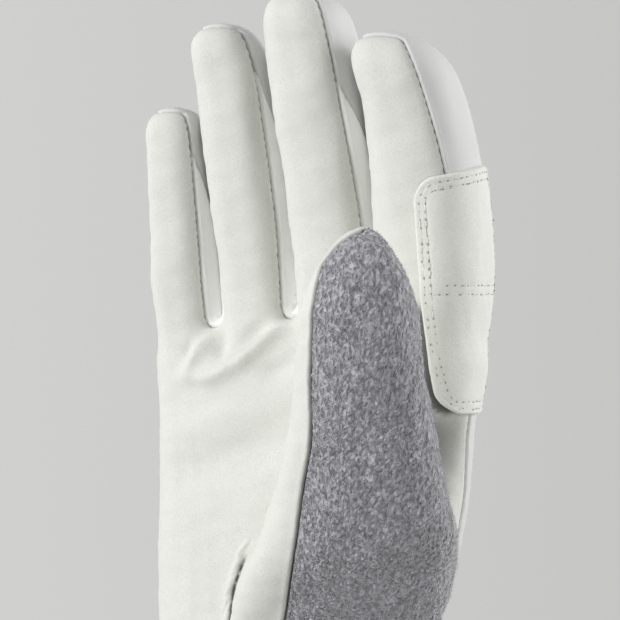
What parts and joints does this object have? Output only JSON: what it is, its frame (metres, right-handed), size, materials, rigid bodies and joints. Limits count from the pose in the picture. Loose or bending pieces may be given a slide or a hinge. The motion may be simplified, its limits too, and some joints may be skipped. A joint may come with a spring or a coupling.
{
  "type": "cross-country ski glove",
  "caption": "Right-hand cross-country ski glove, filled as if worn: leather palm, fabric back, fleece-backed thumb, side strips between the fingers and an index patch.",
  "frame": {"origin": "the middle of the wrist opening, on the cuff's lower edge", "axes": "+Z from the wrist opening to the fingertips, -Y out of the palm, +X to the thumb side"},
  "size_m": [0.0932, 0.0856, 0.2282],
  "materials": {
    "white_leather": "matt white goatskin with a fine suede nap",
    "white_fabric": "smooth white stretch fabric",
    "grey_fleece": "grey pilled fleece"
  },
  "bodies": {
    "root": {"palm_leather": "white_leather", "back_fabric": "white_fabric", "thumb_leather": "white_leather", "thumb_fleece": "grey_fleece", "index_patch": "white_leather", "wrist_cuff": "white_fabric", "fourchette_little_ring": "white_fabric", "fourchette_ring_middle": "white_fabric", "fourchette_middle_index": "white_fabric"}
  },
  "joints": []
}
